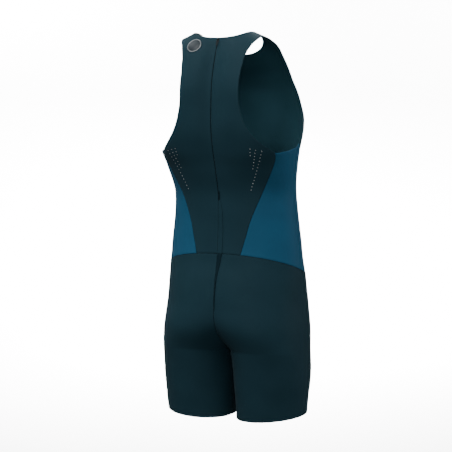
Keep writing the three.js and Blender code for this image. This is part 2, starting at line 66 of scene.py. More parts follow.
legForm = {
    "columns": ["centreX", "centreY", "radiusX", "backRadius", "frontRadius", "backPower", "frontPower"],
    "rows": np.array([
        [85, -67, 85, 101, 93, 0.9, 0.9],
        [87, -67, 85, 93, 92, 0.94, 0.92],
        [88, -67, 84, 87, 88, 0.97, 0.95],
        [88, -67, 82, 82, 82, 1, 1],
        [87, -67, 80, 77, 77, 1, 1]], float),
    "crotchZ": -700, "hemZ": -850, "hemOutside": 6, "hemBack": -6}


def mix(a, b, f):
    return a + (b - a) * f


# Catmull-Rom curve through the rows of a table: between two rows each value is a cubic whose end slopes are
# half the step between the rows on either side. A closed table repeats its first row at its end.
def tableAt(table, at, closed=False):
    last = len(table) - 1
    i = np.clip(np.floor(at).astype(int), 0, last - 1)
    f = (at - i)[..., None]
    b, c = table[i], table[i + 1]
    before = table[last - 1] if closed else 2 * b - c
    after = table[1] if closed else 2 * c - b
    a = np.where((i > 0)[..., None], table[np.maximum(i - 1, 0)], before)
    d = np.where((i + 2 <= last)[..., None], table[np.minimum(i + 2, last)], after)
    return b + 0.5 * f * (c - a + f * (2 * a - 5 * b + 4 * c - d + f * (3 * b - a - 3 * c + d)))


def formAt(form, at):
    values = tableAt(form["rows"], np.asarray(at, float))
    return {name: values[..., k] for k, name in enumerate(form["columns"])}


def signedPower(v, p):
    return np.sign(v) * np.abs(v) ** p


# Body surface: at each level a ring of four superellipse quarters, x = centre + radius cos(angle)^power and
# y = side + (centre line - side) |sin(angle)|^power, tilted by sin(angle)^2 and hollowed along the spine.
def bodyPoint(place):
    angle, level = np.radians(place[..., 0]), place[..., 1]
    s = formAt(bodyForm, level)
    c, n = np.cos(angle), np.sin(angle)
    back = n >= 0
    power = np.where(back, s["backPower"], s["frontPower"])
    radius = s["sideX"] / (1 + np.maximum(s["lobe"], 0))
    x = s["sideX"] - radius + radius * signedPower(c, power)
    reach = np.abs(n) ** power
    reach = np.where(c < 0, mix(reach, 1, np.where(back, s["backBridge"], s["frontBridge"])), reach)
    spine = np.where(back, s["groove"] * np.exp(-(x / bodyForm["spineWidth"]) ** 2), 0)
    y = mix(s["sideY"], np.where(back, s["backY"], s["frontY"]), reach) - spine
    z = mix(s["sideZ"], np.where(back, s["backZ"], s["frontZ"]), n * n)
    return np.stack([x, y, z], -1)


# The angle at which a ring has a given x, at the back (side 1) or the front (side -1).
def angleAtX(x, level, side):
    s = formAt(bodyForm, level)
    radius = s["sideX"] / (1 + np.maximum(s["lobe"], 0))
    power = s["backPower"] if side > 0 else s["frontPower"]
    c = signedPower((x - s["sideX"] + radius) / radius, 1 / power)
    return side * np.degrees(np.arccos(np.clip(c, -1, 1)))


# Leg surface: superellipse loops round the leg's own centre, lower on the inside and the back at the hem.
def legPoint(angle, down):
    s = formAt(legForm, down * (len(legForm["rows"]) - 1))
    c, n = np.cos(np.radians(angle)), np.sin(np.radians(angle))
    power = np.where(n >= 0, s["backPower"], s["frontPower"])
    end = legForm["hemZ"] + legForm["hemOutside"] * c + legForm["hemBack"] * n
    x = s["centreX"] + s["radiusX"] * signedPower(c, power)
    y = s["centreY"] + np.where(n >= 0, s["backRadius"], s["frontRadius"]) * signedPower(n, power)
    return np.stack([x, y, mix(legForm["crotchZ"], end, down)], -1)


waist = {"backLevel": 4.32, "fall": 0.76, "frontAngle": -36, "backAngle": 70}


def waistLevel(angle):
    angle = np.asarray(angle, float)
    turn = np.where(np.abs(angle) > 90, np.sign(angle), np.sin(np.radians(angle)))
    return waist["backLevel"] - waist["fall"] * (1 - turn)


backSeamLine = np.array([
    [70, waistLevel(70)], [67.5, 4.7], [64.6, 5.15], [61.6, 5.6], [57.6, 6.05], [52.8, 6.5],
    [47.8, 6.95], [42.8, 7.4], [38.4, 7.85], [34.8, 8.3], [33.2, 8.65], [34, 8.96]], float)
frontSeamLine = np.array([
    [-36, waistLevel(-36)], [-36, 4.2], [-34.5, 5.3], [-32.5, 6.3], [-29.5, 7.3], [-25.5, 8.1],
    [-20, 8.75], [-7, 9.4]], float)
armholeLine = np.array([
    [34, 8.96], [55, 9.5], [68.5, 10.18], [74.3, 11], [74.8, 11.9], [70.5, 12.9], [59.5, 13.72],
    [38, 14.25], [-4, 14.48], [-24, 14.15], [-41, 13.6], [-48.5, 12.6], [-46.5, 11.85], [-38.5, 11],
    [-24, 10.32], [-7, 9.4], [5, 9.1], [20, 8.99], [34, 8.96]], float)
armhole = {"crest": 8, "front": 15, "end": 18}      # rows of the line at the panels' corners
shoulder = {"angle": -4, "neckDip": 0.17}
cut = {"side": 10, "armhole": 18, "backToNeck": 12, "frontToNeck": 11, "seat": 14, "leg": 8,
       "frontColumns": 8, "sideColumns": 8, "backColumns": 7, "crotchCrowding": 1.5,
       "strip": 12.0, "fine": 5}
neckLevel = bodyForm["neckLevel"]


# Places taken evenly by length along a curve that is given as closely set places.
def spread(places, count, shares=None):
    points = bodyPoint(places)
    length = np.concatenate([[0], np.cumsum(np.linalg.norm(np.diff(points, axis=0), axis=1))])
    wanted = (np.linspace(0, 1, count + 1) if shares is None else shares) * length[-1]
    return np.stack([np.interp(wanted, length, places[:, k]) for k in range(2)], 1)


def lineThrough(table, start, end, closed=False, count=480):
    return tableAt(table, np.linspace(start, end, count), closed)


def neckLine(start, end, count=240):
    angle = np.linspace(start, end, count)
    dip = np.where(angle < 0, shoulder["neckDip"] * np.sin(np.radians(2 * angle)) ** 2, 0)
    return np.stack([angle, neckLevel - dip], 1)


def waistLine(start, end, count=240):
    angle = np.linspace(start, end, count)
    return np.stack([angle, waistLevel(angle)], 1)


# Coons patch in angle and level: the two ways across, mixed from edge to edge, less the corners' share.
def fill(bottom, top, start, end):
    v = np.linspace(0, 1, len(start))[:, None, None]
    u = np.linspace(0, 1, len(bottom))[None, :, None]
    across = mix(start[:, None], end[:, None], u)
    along = mix(bottom[None], top[None], v)
    return across + along - mix(mix(bottom[0], bottom[-1], u), mix(top[0], top[-1], u), v)


fine = cut["fine"]
waistFront = float(angleAtX(0, waistLevel(-90), -1))
waistStrip = float(angleAtX(cut["strip"], waist["backLevel"], 1))
waistPlaces = np.concatenate([
    spread(waistLine(waistFront, waist["frontAngle"]), cut["frontColumns"] * fine),
    spread(waistLine(waist["frontAngle"], waist["backAngle"]), cut["sideColumns"] * fine)[1:],
    spread(waistLine(waist["backAngle"], waistStrip), cut["backColumns"] * fine)[1:],
    np.stack([np.linspace(waistStrip, 90, fine + 1), np.full(fine + 1, waist["backLevel"])], 1)[1:]])
frontEnd = cut["frontColumns"] * fine
sideEnd = frontEnd + cut["sideColumns"] * fine
stripStart = sideEnd + cut["backColumns"] * fine

backSeam = spread(lineThrough(backSeamLine, 0, len(backSeamLine) - 1), cut["side"] * fine)
frontSeam = spread(lineThrough(frontSeamLine, 0, len(frontSeamLine) - 1), cut["side"] * fine)
armholeBack = spread(lineThrough(armholeLine, 0, armhole["crest"], True), cut["armhole"] * fine)
armholeFront = spread(lineThrough(armholeLine, armhole["front"], armhole["crest"], True),
                      cut["armhole"] * fine)
armholeBottom = spread(lineThrough(armholeLine, armhole["front"], armhole["end"], True),
                       cut["sideColumns"] * fine)


# Levels on a panel's centre line: level with the side seam's rows, then ever higher above the armhole's.
def centreLevels(start, edge, toNeck):
    side = np.linspace(start, edge[0, 1], cut["side"] * fine + 1)[:-1]
    i = np.arange(toNeck * fine + 1)
    return np.concatenate([side, edge[i, 1] + (neckLevel - edge[toNeck * fine, 1]) * (i / i[-1]) ** 2])


def shoulderLine(count):
    f = np.linspace(0, 1, 120)
    dip = shoulder["neckDip"] * math.sin(math.radians(2 * shoulder["angle"])) ** 2
    level = mix(armholeLine[armhole["crest"], 1], neckLevel - dip, f)
    return spread(np.stack([np.full(120, shoulder["angle"]), level], 1), count)


def backField():
    levels = centreLevels(waist["backLevel"], armholeBack, cut["backToNeck"])
    strip = np.stack([angleAtX(cut["strip"], levels, 1), levels], 1)
    neck = spread(neckLine(strip[-1, 0], shoulder["angle"]),
                  (cut["armhole"] - cut["backToNeck"]) * fine)
    start = np.concatenate([backSeam, armholeBack[1:]])
    end = np.concatenate([strip, neck[1:]])
    main = fill(waistPlaces[sideEnd:stripStart + 1], shoulderLine(cut["backColumns"] * fine), start, end)
    f = np.linspace(0, 1, fine + 1)[None]
    beside = np.stack([mix(strip[:, :1], 90, f), levels[:, None] + 0 * f], -1)
    return bodyPoint(main), bodyPoint(beside)


def sideField():
    return bodyPoint(fill(waistPlaces[frontEnd:sideEnd + 1], armholeBottom, frontSeam, backSeam))


def frontField():
    levels = centreLevels(float(waistLevel(-90)), armholeFront, cut["frontToNeck"])
    neck = spread(neckLine(-90, shoulder["angle"]), (cut["armhole"] - cut["frontToNeck"]) * fine)
    centre = np.stack([angleAtX(0, levels, -1), levels], 1)
    start = np.concatenate([centre, neck[1:]])
    end = np.concatenate([frontSeam, armholeFront[1:]])
    strap = shoulderLine(cut["frontColumns"] * fine)[::-1]
    return bodyPoint(fill(waistPlaces[:frontEnd + 1], strap, start, end))


# Shares of a curve's length put back onto the curve, for one row of points.
def evenRow(curve, start, end, shares):
    f = np.linspace(start, end, 400)
    points = curve(f)
    length = np.concatenate([[0], np.cumsum(np.linalg.norm(np.diff(points, axis=0), axis=1))])
    return curve(np.interp(shares * length[-1], length, f))


def shortsField():
    last = len(waistPlaces) - 1
    tail = last - fine                       # the strip's columns keep their own width
    even = np.linspace(0, 1, tail + 1)
    waistPoints = bodyPoint(waistPlaces[:tail + 1])
    waistShares = np.concatenate([[0], np.cumsum(np.linalg.norm(np.diff(waistPoints, axis=0), axis=1))])
    waistShares /= waistShares[-1]
    columns = cut["frontColumns"] + cut["sideColumns"] + cut["backColumns"] + 1
    strip = np.linspace(0, 1, fine + 1)[1:]
    rows = []
    for i in range(cut["leg"] * fine, 0, -1):
        down = i / (cut["leg"] * fine)
        inner = mix(float(angleAtX(cut["strip"], 0, 1)), 180 - 360 / columns, min(1, 2 * down))
        loop = evenRow(lambda f: legPoint(f, np.full(f.shape, down)), -180, inner, even)
        rows.append(np.concatenate([loop, legPoint(mix(inner, 180, strip), np.full(fine, down))]))
    for i in range(cut["seat"] * fine):
        share = (i / (cut["seat"] * fine)) ** cut["crotchCrowding"]
        backLevel = waist["backLevel"] * share
        start = float(angleAtX(0, float(waistLevel(-90)) * share, -1))
        end = float(angleAtX(cut["strip"], backLevel, 1))
        shares = mix(even, waistShares, share)
        line = evenRow(lambda f: bodyPoint(np.stack([f, waistLevel(f) * share], -1)), start, end, shares)
        angles = mix(end, float(angleAtX(0, backLevel, 1)), strip)
        rows.append(np.concatenate([line, bodyPoint(np.stack([angles, np.full(fine, backLevel)], -1))]))
    rows.append(bodyPoint(waistPlaces))
    return np.array(rows)


backMain, backStrip = backField()
sideGrid = sideField()
frontGrid = frontField()
shortsGrid = shortsField()
print("surface worked out:", backMain.shape, sideGrid.shape, frontGrid.shape, shortsGrid.shape)


# Outward direction of the body surface at a place: the cross product of its steps in angle and in level.
def bodyNormal(place, step=0.02):
    turn, rise = np.array([step * 10, 0]), np.array([0, step])
    across = bodyPoint(place + turn) - bodyPoint(place - turn)
    up = bodyPoint(place + rise) - bodyPoint(place - rise)
    return unit(np.cross(across, up))


def unit(v):
    return v / np.maximum(np.linalg.norm(v, axis=-1, keepdims=True), 1e-9)


def mirrored(v):
    return v * np.array([-1.0, 1.0, 1.0])


# Slight unevenness of worn cloth, the same for pieces that meet: a sum of sines of the place.
def unevenness(points):
    waves = np.array([[0.031, 0.052, 0.043, 0.3, 0.22], [-0.047, 0.021, 0.082, 1.7, 0.16],
                      [0.09, -0.06, 0.035, 4.1, 0.1], [0.02, 0.11, -0.12, 2.6, 0.07]])
    return (np.sin(points @ waves[:, :3].T + waves[:, 3]) * waves[:, 4]).sum(-1)


def newObject(name, vertices, faces):
    mesh = bpy.data.meshes.new(name)
    mesh.from_pydata(np.asarray(vertices) * metre, [], faces)
    mesh.update()
    mesh.polygons.foreach_set("use_smooth", np.full(len(mesh.polygons), True))
    piece = bpy.data.objects.new(name, mesh)
    bpy.context.scene.collection.objects.link(piece)
    return piece


# Quads of a grid as indices, and the length run along its rows and columns as cloth coordinates.
def gridQuads(grid, base, flip):
    n = np.arange(grid.shape[0] * grid.shape[1]).reshape(grid.shape[:2]) + base
    quads = np.stack([n[:-1, :-1], n[:-1, 1:], n[1:, 1:], n[1:, :-1]], -1).reshape(-1, 4)
    return quads[:, ::-1] if flip else quads


def clothCoordinates(grid):
    across = np.linalg.norm(np.diff(grid, axis=1), axis=2)
    up = np.linalg.norm(np.diff(grid, axis=0), axis=2)
    u = np.concatenate([np.zeros((len(grid), 1)), np.cumsum(across, 1)], 1)
    v = np.concatenate([np.zeros((1, grid.shape[1])), np.cumsum(up, 0)], 0)
    middle = grid.shape[1] // 2
    return np.stack([u - u[:, middle:middle + 1], np.broadcast_to(v[:, middle:middle + 1], u.shape)], -1)


rimTurns = [50, 17, -17, -50]      # angles of the half round at an open edge


# Cloth as a closed wall: each grid point moved out to lift and back in by the wall's thickness along the
# surface's direction, and a half round from one face to the other along every open edge.
def clothPiece(name, grids, wall, lift=0.0, gap=0.15, flips=None, onCentre=True, gapAt=None):
    flips = flips or [False] * len(grids)
    points = np.concatenate([g.reshape(-1, 3) for g in grids])
    uv = np.concatenate([clothCoordinates(g).reshape(-1, 2) for g in grids])
    base = np.cumsum([0] + [g.shape[0] * g.shape[1] for g in grids])
    corners = np.concatenate([gridQuads(g, b, f) for g, b, f in zip(grids, base, flips)])
    _, first, ids = np.unique(np.round(points, 3), axis=0, return_index=True, return_inverse=True)
    ids = ids.reshape(-1)
    places = points[first]
    quads = ids[corners]
    a, b, c, d = (places[quads[:, k]] for k in range(4))
    area = np.cross(c - a, d - b)
    sums = np.zeros_like(places)
    for k in range(4):
        np.add.at(sums, quads[:, k], area)
    if onCentre:
        sums[np.abs(places[:, 0]) < 0.01, 0] = 0
    out = unit(sums)
    count = len(places)
    edges = np.concatenate([quads[:, [k, (k + 1) % 4]] for k in range(4)])
    rim = edges[~np.isin(edges[:, 0] * count + edges[:, 1], edges[:, 1] * count + edges[:, 0])]
    away = np.zeros_like(places)
    side = np.cross(unit(places[rim[:, 1]] - places[rim[:, 0]]), out[rim[:, 0]] + out[rim[:, 1]])
    np.add.at(away, rim[:, 0], side)
    np.add.at(away, rim[:, 1], side)
    away = unit(away)
    onRim = np.unique(rim)
    back = np.full(count, gap) if gapAt is None else gapAt(places, gap)
    settled = places.copy()
    settled[onRim] -= away[onRim] * (back[onRim] + wall / 2)[:, None]
    settled += out * unevenness(places)[:, None]
    outer, inner = settled + out * lift, settled + out * (lift - wall)
    middle = settled[onRim] + out[onRim] * (lift - wall / 2)
    rings = [middle + wall / 2 * (math.cos(t) * away[onRim] + math.sin(t) * out[onRim])
             for t in np.radians(rimTurns)]
    vertices = np.concatenate([outer, inner] + rings)
    number = np.full(count, -1)
    number[onRim] = np.arange(len(onRim))
    ringIds = [np.arange(count)] + [2 * count + k * len(onRim) + number for k in range(len(rimTurns))]
    ringIds.append(np.arange(count) + count)
    rimQuads = [np.stack([below[rim[:, 0]], below[rim[:, 1]], above[rim[:, 1]], above[rim[:, 0]]], 1)
                for above, below in zip(ringIds[:-1], ringIds[1:])]
    faces = np.concatenate([quads, quads[:, ::-1] + count] + rimQuads)
    piece = newObject(name, vertices, faces.tolist())
    layer = piece.data.uv_layers.new(name="cloth")
    uvRim = uv[first]
    loops = [uv[corners], uv[corners][:, ::-1]]
    loops += [uvRim[np.stack([rim[:, 0], rim[:, 1], rim[:, 1], rim[:, 0]], 1)]] * len(rimQuads)
    layer.data.foreach_set("uv", (np.concatenate(loops) * metre).astype(np.float32).ravel())
    index = np.zeros(len(faces), np.int32)
    index[len(quads):2 * len(quads)] = 1
    piece["flatArea"] = float(np.linalg.norm(area, axis=1).sum() / 2 * metre ** 2)
    piece.data.polygons.foreach_set("material_index", index)
    return piece


# Quads between the rings of a grid of vertex numbers that closes round its columns.
def ringQuads(n, upwards=True):
    after = np.roll(n, -1, axis=1)
    corners = [n[:-1], after[:-1], after[1:], n[1:]] if upwards else [n[:-1], n[1:], after[1:], after[:-1]]
    return np.stack(corners, -1).reshape(-1, 4)


def fanRound(ring):
    return np.stack([np.zeros_like(ring), ring, np.roll(ring, -1)], 1)


# A tube is a grid closed round its columns, with both ends filled.
def closedTube(name, rings):
    n = np.arange(rings.shape[0] * rings.shape[1]).reshape(rings.shape[:2])
    caps = [n[0, ::-1].tolist(), n[-1].tolist()]
    return newObject(name, rings.reshape(-1, 3), ringQuads(n).tolist() + caps)


clothFinish = {
    # colour is the cloth's own; the second colour is reached where the random drift and grain rise, and on
    # the knit loops' crests as painted light
    "darkCloth": {"colour": (0.0105, 0.031, 0.043), "worn": (0.015, 0.041, 0.055), "rough": 0.56},
    "darkReverse": {"colour": (0.018, 0.058, 0.077), "worn": (0.023, 0.068, 0.090), "rough": 0.66},
    "blueCloth": {"colour": (0.016, 0.073, 0.137), "worn": (0.021, 0.088, 0.160), "rough": 0.52},
    "blueReverse": {"colour": (0.008, 0.052, 0.09), "worn": (0.011, 0.066, 0.108), "rough": 0.64},
    # the seat flap's cloth is coloured darker than the dark cloth: painted shade of the fold beside the seat
    # seam
    "seatFlapShadeCloth": {"colour": (0.0045, 0.015, 0.021), "worn": (0.0065, 0.020, 0.028), "rough": 0.62},
    "tapeCloth": {"colour": (0.004, 0.0105, 0.0145), "worn": (0.006, 0.015, 0.021), "rough": 0.7}}
knit = {"walePitch": 0.0009, "coursePitch": 0.0012, "waveTurn": 2 * math.pi / 20, "loops": 0.75,
        "fuzzScale": 900.0, "driftScale": 22.0, "grainScale": 320.0, "drift": 0.6, "grain": 0.25,
        "loopShade": 0.15, "gloss": 0.12, "bump": (0.5, 0.00006)}
grainForm = {"gloss": 0.2, "bump": (0.3, 0.00004)}
clothShine = {"Specular IOR Level": 0.03, "Sheen Weight": 0.015, "Sheen Roughness": 0.45}


def nodeGroup(name, inputs, outputs):
    group = bpy.data.node_groups.new(name, "ShaderNodeTree")
    for label, kind, value in inputs:
        socket = group.interface.new_socket(name=label, in_out="INPUT", socket_type=kind)
        if value is not None:
            socket.default_value = value
    for label, kind in outputs:
        group.interface.new_socket(name=label, in_out="OUTPUT", socket_type=kind)
    return group, group.nodes.new("NodeGroupInput"), group.nodes.new("NodeGroupOutput")


def addNode(tree, kind, links=(), **settings):
    node = tree.nodes.new(kind)
    for key, value in settings.items():
        if key.startswith("in_"):
            node.inputs[key[3:]].default_value = value
        else:
            setattr(node, key, value)
    for source, socket in links:
        tree.links.new(source, node.inputs[socket])
    return node


def maths(tree, operation, a, b=0.5):
    node = tree.nodes.new("ShaderNodeMath")
    node.operation = operation
    for k, value in enumerate((a, b)):
        if isinstance(value, (int, float)):
            node.inputs[k].default_value = value
        else:
            tree.links.new(value, node.inputs[k])
    return node.outputs[0]


# What both patterns give: two colours blended by the tone, roughness shifted by the drift, and the height.
def endPattern(group, given, made, colours, tone, drift, gloss, height):
    blend = addNode(group, "ShaderNodeMix", data_type="RGBA")
    group.links.new(tone, blend.inputs["Factor"])
    for socket, label in zip((6, 7), colours):
        group.links.new(given.outputs[label], blend.inputs[socket])
    shift = maths(group, "MULTIPLY", maths(group, "SUBTRACT", drift, 0.5), gloss)
    group.links.new(blend.outputs[2], made.inputs["Colour"])
    group.links.new(maths(group, "ADD", given.outputs["Roughness"], shift), made.inputs["Roughness"])
    group.links.new(height, made.inputs["Height"])
    return group


patternOutputs = [("Colour", "NodeSocketColor"), ("Roughness", "NodeSocketFloat"),
                  ("Height", "NodeSocketFloat")]


# Knit: fine upright wales and level courses from the cloth coordinates, with a soft drift of tone and painted
# shade: the colour darkens in the hollows between the loops and lightens on their crests.
def knitGroup():
    group, given, made = nodeGroup(
        "stretchKnit",
        [("Cloth", "NodeSocketVector", None), ("Place", "NodeSocketVector", None),
         ("Colour", "NodeSocketColor", (0.02, 0.04, 0.05, 1)),
         ("Drift And Crest Light", "NodeSocketColor", (0.03, 0.05, 0.06, 1)),
         ("Roughness", "NodeSocketFloat", 0.55)], patternOutputs)
    cloth, place = given.outputs["Cloth"], given.outputs["Place"]
    wales = addNode(group, "ShaderNodeTexWave", [(cloth, "Vector")], wave_type="BANDS", bands_direction="X",
                    in_Scale=knit["waveTurn"] / knit["walePitch"], in_Distortion=0.6, in_Detail=1.0)
    courses = addNode(group, "ShaderNodeTexWave", [(cloth, "Vector")], wave_type="BANDS",
                      bands_direction="DIAGONAL", in_Scale=knit["waveTurn"] / knit["coursePitch"],
                      in_Distortion=0.4)
    loops = maths(group, "MULTIPLY", wales.outputs["Fac"], courses.outputs["Fac"])
    fuzz = addNode(group, "ShaderNodeTexNoise", [(place, "Vector")], in_Scale=knit["fuzzScale"],
                   in_Detail=3.0)
    height = maths(group, "ADD", maths(group, "MULTIPLY", loops, knit["loops"]),
                   maths(group, "MULTIPLY", fuzz.outputs["Fac"], 1 - knit["loops"]))
    drift = addNode(group, "ShaderNodeTexNoise", [(place, "Vector")], in_Scale=knit["driftScale"],
                    in_Detail=3.0, in_Roughness=0.45)
    grain = addNode(group, "ShaderNodeTexNoise", [(place, "Vector")], in_Scale=knit["grainScale"],
                    in_Detail=2.0)
    tone = maths(group, "ADD", maths(group, "MULTIPLY", drift.outputs["Fac"], knit["drift"]),
                 maths(group, "MULTIPLY", grain.outputs["Fac"], knit["grain"]))
    # painted shade: the tone rises with the loops' height, so the colour is darker in their hollows and
    # lighter on their crests
    tone = maths(group, "ADD", tone, maths(group, "MULTIPLY", height, knit["loopShade"]))
    return endPattern(group, given, made, ("Colour", "Drift And Crest Light"), tone, drift.outputs["Fac"],
                      knit["gloss"], height)


# Plain small parts: thread, teeth, enamel and silver print, with a fine grain in tone and gloss.
def grainGroup():
    group, given, made = nodeGroup(
        "fineGrain",
        [("Place", "NodeSocketVector", None), ("Colour", "NodeSocketColor", (0.02, 0.02, 0.02, 1)),
         ("Light Colour", "NodeSocketColor", (0.05, 0.05, 0.05, 1)),
         ("Roughness", "NodeSocketFloat", 0.4), ("Scale", "NodeSocketFloat", 600.0)], patternOutputs)
    grain = addNode(group, "ShaderNodeTexNoise", [(given.outputs["Place"], "Vector"),
                                                  (given.outputs["Scale"], "Scale")], in_Detail=2.0)
    grain = grain.outputs["Fac"]
    return endPattern(group, given, made, ("Colour", "Light Colour"), grain, grain, grainForm["gloss"], grain)


def newMaterial(name):
    material = bpy.data.materials.new(name)
    material.use_nodes = True
    tree = material.node_tree
    return material, tree, tree.nodes["Principled BSDF"]


# A pattern group in a material of its own: values set on the group, constants on the shader itself.
def patternMaterial(name, group, values, bump, constants):
    material, tree, shader = newMaterial(name)
    pattern = addNode(tree, "ShaderNodeGroup", node_tree=group)
    place = addNode(tree, "ShaderNodeTexCoord")
    tree.links.new(place.outputs["Object"], pattern.inputs["Place"])
    if "Cloth" in pattern.inputs:
        uv = addNode(tree, "ShaderNodeUVMap", uv_map="cloth")
        tree.links.new(uv.outputs["UV"], pattern.inputs["Cloth"])
    for socket, value in values.items():
        pattern.inputs[socket].default_value = value
    raised = addNode(tree, "ShaderNodeBump", [(pattern.outputs["Height"], "Height")],
                     in_Strength=bump[0], in_Distance=bump[1])
    tree.links.new(pattern.outputs["Colour"], shader.inputs["Base Color"])
    tree.links.new(pattern.outputs["Roughness"], shader.inputs["Roughness"])
    tree.links.new(raised.outputs["Normal"], shader.inputs["Normal"])
    for socket, value in constants.items():
        shader.inputs[socket].default_value = value
    return material


partFinish = {
    "seamThread": {"colour": (0.004, 0.012, 0.017), "light": (0.008, 0.02, 0.027), "rough": 0.6,
                   "metal": 0.0, "gloss": 0.06, "scale": 2500.0},
    "zipTeeth": {"colour": (0.003, 0.008, 0.011), "light": (0.006, 0.014, 0.019), "rough": 0.4,
                 "metal": 0.0, "gloss": 0.15, "scale": 900.0},
    "zipEnamel": {"colour": (0.003, 0.009, 0.012), "light": (0.006, 0.015, 0.02), "rough": 0.4,
                  "metal": 0.0, "gloss": 0.1, "scale": 700.0},
    "silverPrint": {"colour": (0.26, 0.29, 0.3), "light": (0.38, 0.41, 0.42), "rough": 0.42,
                    "metal": 0.75, "gloss": 0.5, "scale": 1800.0},
    "badgeField": {"colour": (0.022, 0.03, 0.036), "light": (0.04, 0.052, 0.06), "rough": 0.32,
                   "metal": 0.0, "gloss": 0.1, "scale": 1500.0},
    "badgeRim": {"colour": (0.12, 0.14, 0.15), "light": (0.19, 0.21, 0.22), "rough": 0.34,
                 "metal": 0.3, "gloss": 0.3, "scale": 1500.0}}


stretchKnit, fineGrain = knitGroup(), grainGroup()
materials = {}
for name, finish in clothFinish.items():
    values = {"Colour": (*finish["colour"], 1), "Drift And Crest Light": (*finish["worn"], 1),
              "Roughness": finish["rough"]}
    materials[name] = patternMaterial(name, stretchKnit, values, knit["bump"], clothShine)
for name, finish in partFinish.items():
    values = {"Colour": (*finish["colour"], 1), "Light Colour": (*finish["light"], 1),
              "Roughness": finish["rough"], "Scale": finish["scale"]}
    constants = {"Metallic": finish["metal"], "Specular IOR Level": finish["gloss"]}
    materials[name] = patternMaterial(name, fineGrain, values, grainForm["bump"], constants)
print("materials made:", len(materials))


def dress(piece, body, slot, *names):
    for name in names:
        piece.data.materials.append(materials[name])
    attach(piece, body)
    return piece


# flat is the cut's width and length in metres, before the body stretches it by a tenth.
clothForm = {"wall": 1.2, "seamGap": 0.15, "zipGap": 0.75}
zipEnd = {"row": 8, "z": -607.0, "fade": 12.0, "behind": -30}


# Half the gap at an edge: wider beside the zip's teeth, from the neck to just above the zip's end.
def edgeGap(places, gap):
    beside = (np.abs(places[:, 0]) < 0.01) & (places[:, 1] > zipEnd["behind"])
    opened = np.clip((places[:, 2] - zipEnd["z"]) / zipEnd["fade"], 0, 1)
    return np.where(beside, mix(gap, clothForm["zipGap"], opened), gap)


def pair(name, grids, slot, outer, inner, gapAt=None):
    for side, flips in (("left", False), ("right", True)):
        shaped = [mirrored(g) for g in grids] if flips else grids
        piece = clothPiece(f"cloth_{name}_{side}", shaped, clothForm["wall"], 0.0, clothForm["seamGap"],
                           [flips] * len(grids), gapAt=gapAt)
        dress(piece, "suit", slot, outer, inner)
        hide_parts(f"{name}_{side}")
        print(f"{piece.name}: {piece['flatArea']:.4f} m2")


pair("back", [backMain, backStrip], "dark_fabric", "darkCloth", "darkReverse", edgeGap)
pair("side", [sideGrid], "side_fabric", "blueCloth", "blueReverse")
pair("shorts", [shortsGrid], "dark_fabric", "darkCloth", "darkReverse", edgeGap)
front = clothPiece("cloth_front", [frontGrid, mirrored(frontGrid)], clothForm["wall"], 0.0,
                   clothForm["seamGap"], [False, True])
dress(front, "suit", "dark_fabric", "darkCloth", "darkReverse")
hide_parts("front")
print(f"cloth_front: {front['flatArea']:.4f} m2")

# Seams are flat-stitched: short rounded threads lie across each seam, one after another.
# Evenly spaced stations on a line of the cloth: place, direction along, direction out, direction across.
def stations(points, normals, pitch):
    length = np.concatenate([[0], np.cumsum(np.linalg.norm(np.diff(points, axis=0), axis=1))])
    count = max(int(length[-1] / pitch), 2)
    at = (np.arange(count) + 0.5) * length[-1] / count
    place = np.stack([np.interp(at, length, points[:, k]) for k in range(3)], 1)
    out = unit(np.stack([np.interp(at, length, normals[:, k]) for k in range(3)], 1))
    slope = np.gradient(points, length, axis=0)
    along = unit(np.stack([np.interp(at, length, slope[:, k]) for k in range(3)], 1))
    place = place + out * unevenness(place)[:, None]
    return place, along, out, unit(np.cross(along, out))


# The faces of one shape, as arrays of its vertex numbers, for count shapes of size vertices each.
def repeatFaces(parts, count, size):
    shift = np.arange(count)[:, None, None] * size
    return [face for part in parts for face in (part + shift).reshape(-1, part.shape[-1]).tolist()]


# The same small tube at every station: its path runs straight across, slants along by a share of its way,
# and rises by the sine of half a turn less the depth that its ends sink into the cloth.
def threadBars(name, lines, form, lift=0.0):
    t = np.linspace(0, 1, form["rings"])
    turn = np.linspace(0, 2 * math.pi, form["sides"], endpoint=False)
    x = np.repeat(mix(form["from"], form["to"], t)[:, None], form["sides"], 1)
    y = form["slant"] * (t - 0.5)[:, None] + form["radius"] * np.cos(turn)
    z = (form["rise"] * np.sin(math.pi * t) - form["sink"] + lift)[:, None] + form["radius"] * np.sin(turn)
    if form["to"] < form["from"]:
        x, y, z = x[::-1], y[::-1], z[::-1]
    place, along, out, across = (np.concatenate(parts)[:, None, None] for parts in zip(*lines))
    rings = place + across * x[..., None] + along * y[..., None] + out * z[..., None]
    count, size = len(place), form["rings"] * form["sides"]
    n = np.arange(size).reshape(form["rings"], form["sides"])
    caps = np.stack([n[0, ::-1], n[-1]])
    return newObject(name, rings.reshape(-1, 3), repeatFaces([ringQuads(n), caps], count, size))


# Outward direction at each point of a grid whose columns run to the viewer's right when its rows run up.
def gridNormals(grid):
    return unit(np.cross(np.gradient(grid, axis=1), np.gradient(grid, axis=0)))


def bothSides(points, normals, pitch):
    return [stations(points, normals, pitch), stations(mirrored(points), mirrored(normals), pitch)]


seamStitch = {"pitch": 1.9, "from": -1.5, "to": 1.5, "slant": 0.9, "rise": 0.34, "sink": 0.14,
              "radius": 0.18, "rings": 4, "sides": 5}
pitch = seamStitch["pitch"]
waistPoints, waistOut = bodyPoint(waistPlaces), bodyNormal(waistPlaces)
waistOut[[0, -1], 0] = 0
overFlap = slice(0, stripStart + 1)
bodySeams = [stations(waistPoints[:-1], unit(waistOut)[:-1], pitch),
             stations(mirrored(waistPoints[overFlap]), mirrored(waistOut[overFlap]), pitch)]
for places in (backSeam, frontSeam, shoulderLine(60)):
    bodySeams += bothSides(bodyPoint(places), bodyNormal(places), pitch)
bodyThread = threadBars("seam_thread_body", bodySeams, seamStitch)
dress(bodyThread, "suit", "dark_fabric", "seamThread")

